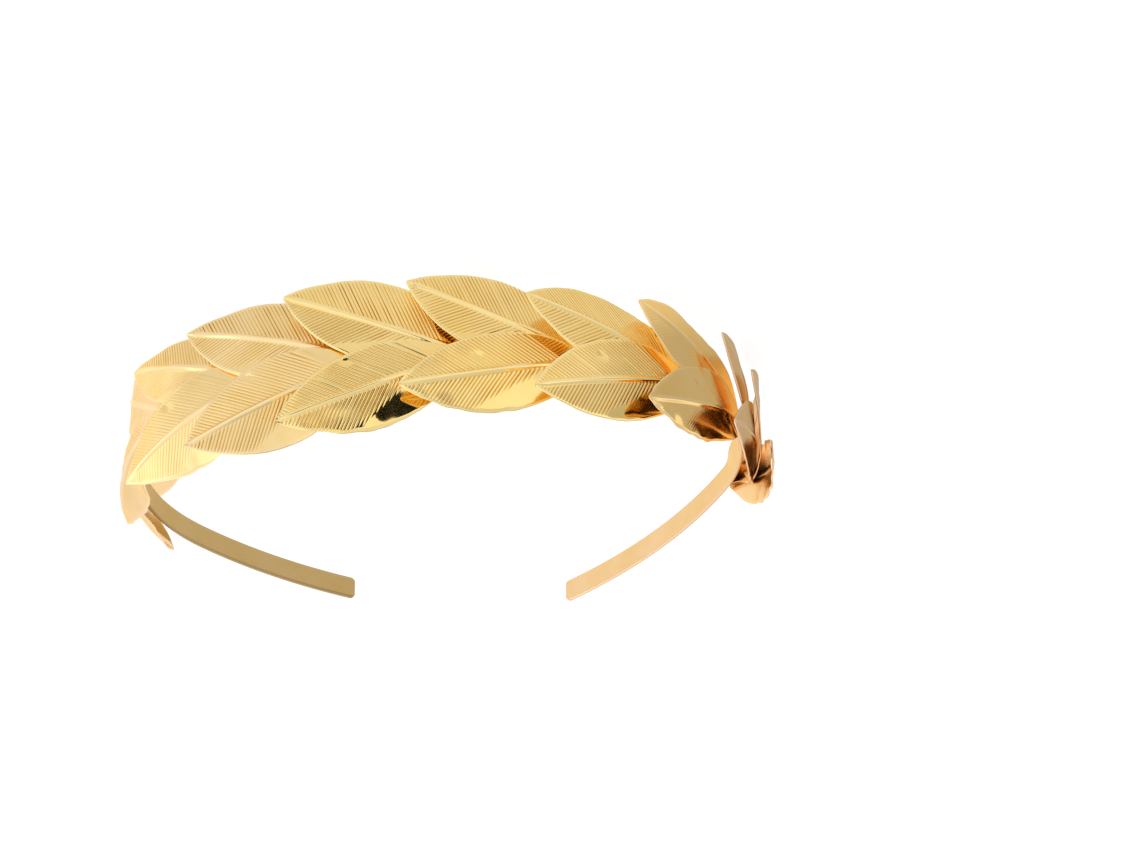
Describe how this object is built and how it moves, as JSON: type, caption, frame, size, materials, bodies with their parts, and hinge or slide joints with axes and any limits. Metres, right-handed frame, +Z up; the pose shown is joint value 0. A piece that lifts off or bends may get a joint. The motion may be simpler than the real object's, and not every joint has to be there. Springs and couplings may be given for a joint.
{
  "type": "laurel wreath crown",
  "caption": "Open metal hairband crown: veined laurel leaves lapped in pairs along a narrow strip, all pointing one way, worn round the brow.",
  "frame": {"origin": "middle of the underside of the box round the crown, as it rests by itself on the tips of its lower leaves", "axes": "+X along the crown's width, the way the leaves point over the forehead; +Y from the forehead to the open ends; +Z up"},
  "size_m": [0.1604, 0.14, 0.0451],
  "materials": {
    "gold_band": "gold-coloured strip, satin polish with soft reflections",
    "gold_leaf": "gold-coloured stamped sheet with fine veins and a raised midrib, polished"
  },
  "bodies": {
    "root": {"band": "gold_band", "lower_leaf_1": "gold_leaf", "lower_leaf_2": "gold_leaf", "lower_leaf_3": "gold_leaf", "lower_leaf_4": "gold_leaf", "lower_leaf_5": "gold_leaf", "lower_leaf_6": "gold_leaf", "lower_leaf_7": "gold_leaf", "lower_leaf_8": "gold_leaf", "lower_leaf_9": "gold_leaf", "lower_leaf_10": "gold_leaf", "upper_leaf_1": "gold_leaf", "upper_leaf_2": "gold_leaf", "upper_leaf_3": "gold_leaf", "upper_leaf_4": "gold_leaf", "upper_leaf_5": "gold_leaf", "upper_leaf_6": "gold_leaf", "upper_leaf_7": "gold_leaf", "upper_leaf_8": "gold_leaf", "upper_leaf_9": "gold_leaf", "upper_leaf_10": "gold_leaf"}
  },
  "joints": []
}
